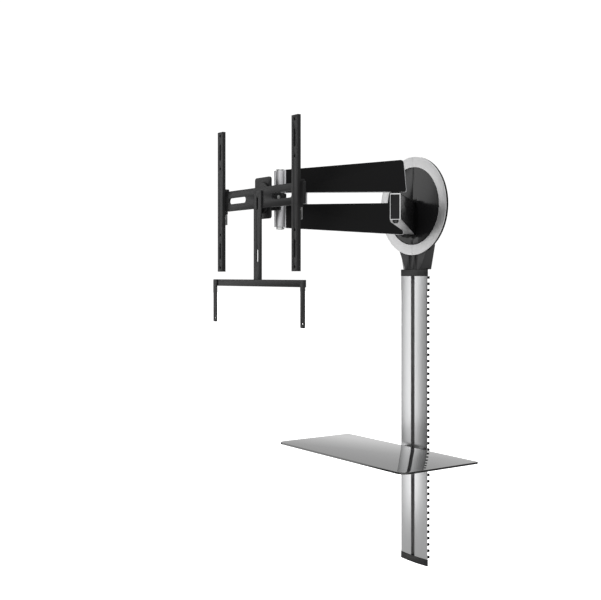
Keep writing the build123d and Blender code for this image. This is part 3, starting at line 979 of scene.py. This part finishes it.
@dataclass
class CableColumn(SubAssembly):
    """Neck, curved column covers, end caps and cable combs. Sizes are in millimetres."""

    sagitta: float = 4.5
    cover_thick: float = 2.5
    cover_edge: float = 0.4
    arc_steps: int = 20

    def __post_init__(self) -> None:
        """Lists the finishes."""
        self.coats = {
            "neck_cover": Coat(NECK, 1.2, 3),
            "neck_ridges": Coat(NECK, 0.4),
            "column_back": Coat(TRUNK, 0.3),
            "column_cover_left": Coat(COLUMN),
            "column_cover_right": Coat(COLUMN),
            "column_top_cap": Coat(PLASTIC, 1.0, 3),
            "column_bottom_cap": Coat(PLASTIC, 1.0, 3),
            "cable_comb_left": Coat(DEEP_BLACK, 0.7),
            "cable_comb_right": Coat(DEEP_BLACK, 0.7),
        }

    def build_covers(self) -> None:
        """Draws the curved section of each column cover and raises it."""
        for node in ("column_cover_left", "column_cover_right"):
            low, high = limits(node)
            side = -1 if node.endswith("left") else 1
            outer_x = max(abs(low.x), abs(high.x))
            slot_x = min(abs(low.x), abs(high.x))
            radius = (outer_x**2 + self.sagitta**2) / (2 * self.sagitta)
            centre_y = low.y - self.crown_gap(slot_x, radius) + radius
            wall = self.cover_thick
            shares = [step / self.arc_steps for step in range(self.arc_steps + 1)]
            outer = [slot_x + (outer_x - slot_x) * share for share in shares]
            inner = [slot_x + (outer_x - wall - slot_x) * share for share in reversed(shares)]
            outline = [(side * x, centre_y - math.sqrt(radius**2 - x * x)) for x in outer]
            outline += [(side * outer_x, high.y), (side * (outer_x - wall), high.y)]
            outline += [(side * x, centre_y - math.sqrt((radius - wall) ** 2 - x * x)) for x in inner]
            shape = Shaper().slab(outline, low.z, high.z).rounded(self.cover_edge)
            self.swap(node + "_curved", shape, COLUMN, node)

    def crown_gap(self, x: float, radius: float) -> float:
        """Returns how far the curved front has fallen back at a distance from the middle."""
        return radius - math.sqrt(radius**2 - x * x)

    def build_pieces(self) -> None:
        """Models the two curved covers."""
        self.build_covers()


@dataclass
class InnerArm(SubAssembly):
    """The link from the wall hinge to the elbow."""

    def __post_init__(self) -> None:
        """Lists the finishes."""
        self.coats = {
            "inner_arm_core": Coat(ARM_GLOSS, 0.8),
            "inner_arm_side_left": Coat(ARM_GLOSS, 0.4),
            "inner_arm_side_right": Coat(ARM_GLOSS, 0.4),
            "inner_arm_top_cover": Coat(ARM_GLOSS, 0.5),
            "inner_arm_underside": Coat(UNDERSIDE, 0.5),
            "inner_arm_front_plate": Coat(FRONT_PLATE, 0.3),
            "inner_arm_front_trim": Coat(CHROME, 0.25),
            "wall_hinge_bushes": Coat(POLYMER, 0.3),
            "elbow_bushes": Coat(POLYMER, 0.2),
        }


@dataclass
class OuterArm(SubAssembly):
    """The two tapered wings from the elbow to the television head.

    Sizes are in millimetres. A screw's place is its distance along the wing from the elbow and its height.
    """

    heading: float = -135.0
    half_thick: float = 12.0
    screw_r: float = 4.0
    screw_h: float = 1.2
    key_r: float = 1.8
    key_depth: float = 0.84
    screw_places: tuple[Point, ...] = (
        (0, 88),
        (125, 82),
        (235, 76),
        (0, 28),
        (235, 30),
        (120, -30),
        (235, -30),
        (120, -84),
        (235, -78),
    )

    def __post_init__(self) -> None:
        """Lists the finishes."""
        self.coats = {
            "upper_wing_core": Coat(CASTING, 0.8),
            "lower_wing_core": Coat(CASTING, 0.8),
            "upper_wing_near_skin": Coat(WING, 0.6, 3),
            "upper_wing_far_skin": Coat(WING, 0.6, 3),
            "lower_wing_near_skin": Coat(WING, 0.6, 3),
            "lower_wing_far_skin": Coat(WING, 0.6, 3),
            "wing_link": Coat(CASTING, 0.8),
            "elbow_pin": Coat(ZINC),
            "elbow_washer": Coat(POLYMER, 0.3),
            "elbow_cap": Coat(PLASTIC, 0.3),
            "wing_screws": Coat(ZINC),
            "swivel_pin": Coat(ZINC, 0.6),
        }

    def build_pieces(self) -> None:
        """Sets nine socket screws in the far side of the wings."""
        joints = frame["record"]["behaviour"]["joints"]
        joint = next(row for row in joints if row["name"] == "elbow_swing")
        elbow = Vector(joint["pos_m"]) / MM
        arm = at(elbow.x, elbow.y, 0) @ turned(self.heading, "Z")
        screw = Shaper().socket_head(self.screw_r, self.screw_h, self.key_r, self.key_depth)
        screws = Shaper()
        for along, height in self.screw_places:
            screws.join(screw, arm @ at(along, -self.half_thick, height) @ turned(90, "X"))
        screw.bm.free()
        self.swap("wing_socket_screws", screws, ZINC, "wing_screws")


@dataclass
class TelevisionHead(SubAssembly):
    """Swivel yoke, tilt bracket, cross bar, screen rails and sound bar holder."""

    def __post_init__(self) -> None:
        """Lists the finishes."""
        self.coats = {
            "swivel_yoke": Coat(STEEL, 0.9, 3),
            "swivel_bushes": Coat(POLYMER, 0.3),
            "tilt_pin": Coat(ZINC, 0.5),
            "tilt_knob": Coat(PLASTIC, 1.2, 3),
            "tilt_bracket": Coat(STEEL, 0.7),
            "level_bolt": Coat(ZINC, 0.4),
            "vesa_hub": Coat(STEEL, 0.8),
            "cross_bar": Coat(STEEL, 0.8),
            "bar_end_caps": Coat(PLASTIC, 0.8, 3),
            "vesa_rail_left": Coat(STEEL, 0.6),
            "vesa_rail_right": Coat(STEEL, 0.6),
            "rail_lock_left": Coat(ZINC, 0.5),
            "rail_lock_right": Coat(ZINC, 0.5),
            "soundbar_spine": Coat(STEEL, 0.4),
            "soundbar_bar": Coat(STEEL, 0.4),
            "soundbar_hangers": Coat(STEEL, 0.4),
        }


@dataclass
class Shelf(SubAssembly):
    """Glass shelf on its sliding bracket. Sizes are in millimetres.

    A pad's rounding lists how far each corner lies in from the side and up from the foot or down from the
    top.
    """

    pad_r: float = 9.0
    pad_foot: tuple[Point, ...] = ((0.6, 0), (0, 0.5))
    pad_rim: tuple[Point, ...] = ((0, 0.7), (0.8, 0.1), (1.6, 0))
    pad_steps: int = 32

    def __post_init__(self) -> None:
        """Lists the finishes."""
        self.coats = {
            "shelf_glass": Coat(GLASS, 1.1, 4),
            "shelf_bracket": Coat(STEEL, 0.8),
            "shelf_slider": Coat(ZINC, 0.5),
            "shelf_pads": Coat(RUBBER),
            "shelf_knob": Coat(PLASTIC, 1.4, 3),
        }

    def build_pieces(self) -> None:
        """Turns the four pads with soft rims."""
        low, high = limits("shelf_pads")
        tall, r = high.z - low.z, self.pad_r
        foot = [(r - reach, rise) for reach, rise in self.pad_foot]
        rim = [(r - reach, tall - drop) for reach, drop in self.pad_rim]
        pad = Shaper().turn([(0, 0), *foot, *rim, (0, tall)], self.pad_steps)
        pads = Shaper()
        for x in (low.x + r, high.x - r):
            for y in (low.y + r, high.y - r):
                pads.join(pad, at(x, y, low.z))
        pad.bm.free()
        self.swap("shelf_pads_turned", pads, RUBBER, "shelf_pads")


# ---------------------------------------------------------------- stage
@dataclass
class SoftBox:
    """A rectangular soft light that points at a place."""

    name: str
    place: tuple[float, float, float]
    aim: tuple[float, float, float]
    size: tuple[float, float]
    radiance: float

    def build(self) -> None:
        """Adds the light. The camera doesn't see it."""
        data = bpy.data.lights.new(self.name, "AREA")
        data.shape = "RECTANGLE"
        data.size, data.size_y = self.size
        data.energy = self.radiance * self.size[0] * self.size[1] * math.pi
        light = bpy.data.objects.new(self.name, data)
        light.location = self.place
        light.rotation_euler = (Vector(self.aim) - Vector(self.place)).to_track_quat("-Z", "Y").to_euler()
        light.visible_camera = False
        bpy.context.scene.collection.objects.link(light)


@dataclass
class Studio:
    """Floor, lights and camera. Sizes are in metres, and brightness 1 is plain white."""

    floor_gap: float = 0.35
    floor_half: float = 60.0
    white: float = 1.06
    horizon: float = 0.11
    front: float = 0.9
    back: float = 0.72
    ground: float = 0.42
    zenith: float = 0.9
    sky_band: tuple[float, float] = (0.3, 0.95)
    ground_band: tuple[float, float] = (0.1, 0.4)
    front_band: tuple[float, float] = (0.45, 0.97)
    front_x: float = 0.79
    front_y: float = 0.61
    back_band: tuple[float, float] = (0.0, 0.5)
    left_band: tuple[float, float] = (-0.2, 0.4)
    lens: float = 58.6
    sensor: float = 36.0
    eye: tuple[float, float, float] = (2.383, -2.114, -0.222)
    azimuth: float = 55.22
    lift: float = -0.0416
    lights: tuple[SoftBox, ...] = (
        SoftBox("strip", (-1.74, -1.44, -0.32), (0, 0, -0.32), (0.85, 3.2), 1.25),
        SoftBox("overhead", (0.6, -2.2, 2.6), (0.1, -0.2, -0.2), (1.8, 1.4), 1.2),
        SoftBox("rim", (0.9, 2.5, 1.0), (0, -0.1, -0.3), (1.6, 1.6), 0.6),
    )

    def build_floor(self) -> None:
        """A plain pale floor below the wall unit, bright enough to match the surroundings."""
        bm = bmesh.new()
        bmesh.ops.create_grid(bm, x_segments=1, y_segments=1, size=self.floor_half)
        bmesh.ops.translate(bm, verts=bm.verts, vec=(0, 0, cad_box[0][2] - self.floor_gap))
        mesh = bpy.data.meshes.new("floor")
        bm.to_mesh(mesh)
        bm.free()
        floor = bpy.data.objects.new("floor", mesh)
        bpy.context.scene.collection.objects.link(floor)
        floor.visible_diffuse = False
        floor.visible_glossy = False
        floor.visible_shadow = False
        recipe = Recipe("pale_floor")
        white = (1, 1, 1, 1)
        recipe.set(Base_Color=white, Emission_Color=white)
        recipe.set(Roughness=0.9, Emission_Strength=self.white)
        mesh.materials.append(recipe.material)

    def build_world(self) -> None:
        """White surroundings for the camera, and for the light a sky, a ground, a front and a back.

        The front is where the camera stands, and the back is the corner behind the unit on its left.
        """
        world = bpy.data.worlds.new("studio")
        bpy.context.scene.world = world
        world.use_nodes = True
        tree = world.node_tree
        background = tree.nodes["Background"]
        background.inputs["Color"].default_value = (1, 1, 1, 1)
        path = tree.nodes.new("ShaderNodeLightPath")
        coords = tree.nodes.new("ShaderNodeTexCoord")
        split = tree.nodes.new("ShaderNodeSeparateXYZ")
        tree.links.new(coords.outputs["Generated"], split.inputs[0])
        x, y, z = (Shade(tree, socket) for socket in split.outputs)
        sky = z.eased(*self.sky_band) * (self.zenith - self.horizon)
        ground = (z * -1).eased(*self.ground_band) * (self.ground - self.horizon)
        forward = x * self.front_x - y * self.front_y
        front = forward.eased(*self.front_band) * (self.front - self.horizon)
        left = (x * -1).eased(*self.left_band)
        back = y.eased(*self.back_band) * left * (self.back - self.horizon)
        level = sky + ground + front + back + self.horizon
        seen = Shade(tree, path.outputs["Is Camera Ray"])
        strength = level * (1 - seen) + seen * self.white
        tree.links.new(strength.socket, background.inputs["Strength"])

    def build_camera(self) -> None:
        """A level camera to the right of the unit, looking left and at the wall."""
        data = bpy.data.cameras.new("camera")
        data.lens = self.lens
        data.sensor_width = self.sensor
        data.shift_y = self.lift
        camera = bpy.data.objects.new("camera", data)
        camera.location = self.eye
        camera.rotation_euler = (math.radians(90), 0, math.radians(self.azimuth))
        bpy.context.scene.collection.objects.link(camera)
        bpy.context.scene.camera = camera

    def build(self) -> None:
        """Sets up the whole stage, shown with plain white balance."""
        bpy.context.scene.view_settings.view_transform = "Standard"
        self.build_camera()
        self.build_floor()
        self.build_world()
        for light in self.lights:
            light.build()


def main() -> None:
    """Builds the stage and each sub-assembly in order."""
    logging.basicConfig(level=logging.INFO, format="%(message)s")
    Studio().build()
    for assembly in (WallUnit(), CableColumn(), InnerArm(), OuterArm(), TelevisionHead(), Shelf()):
        log.info("building %s", type(assembly).__name__)
        assembly.build()


if __name__ == "__main__":
    main()
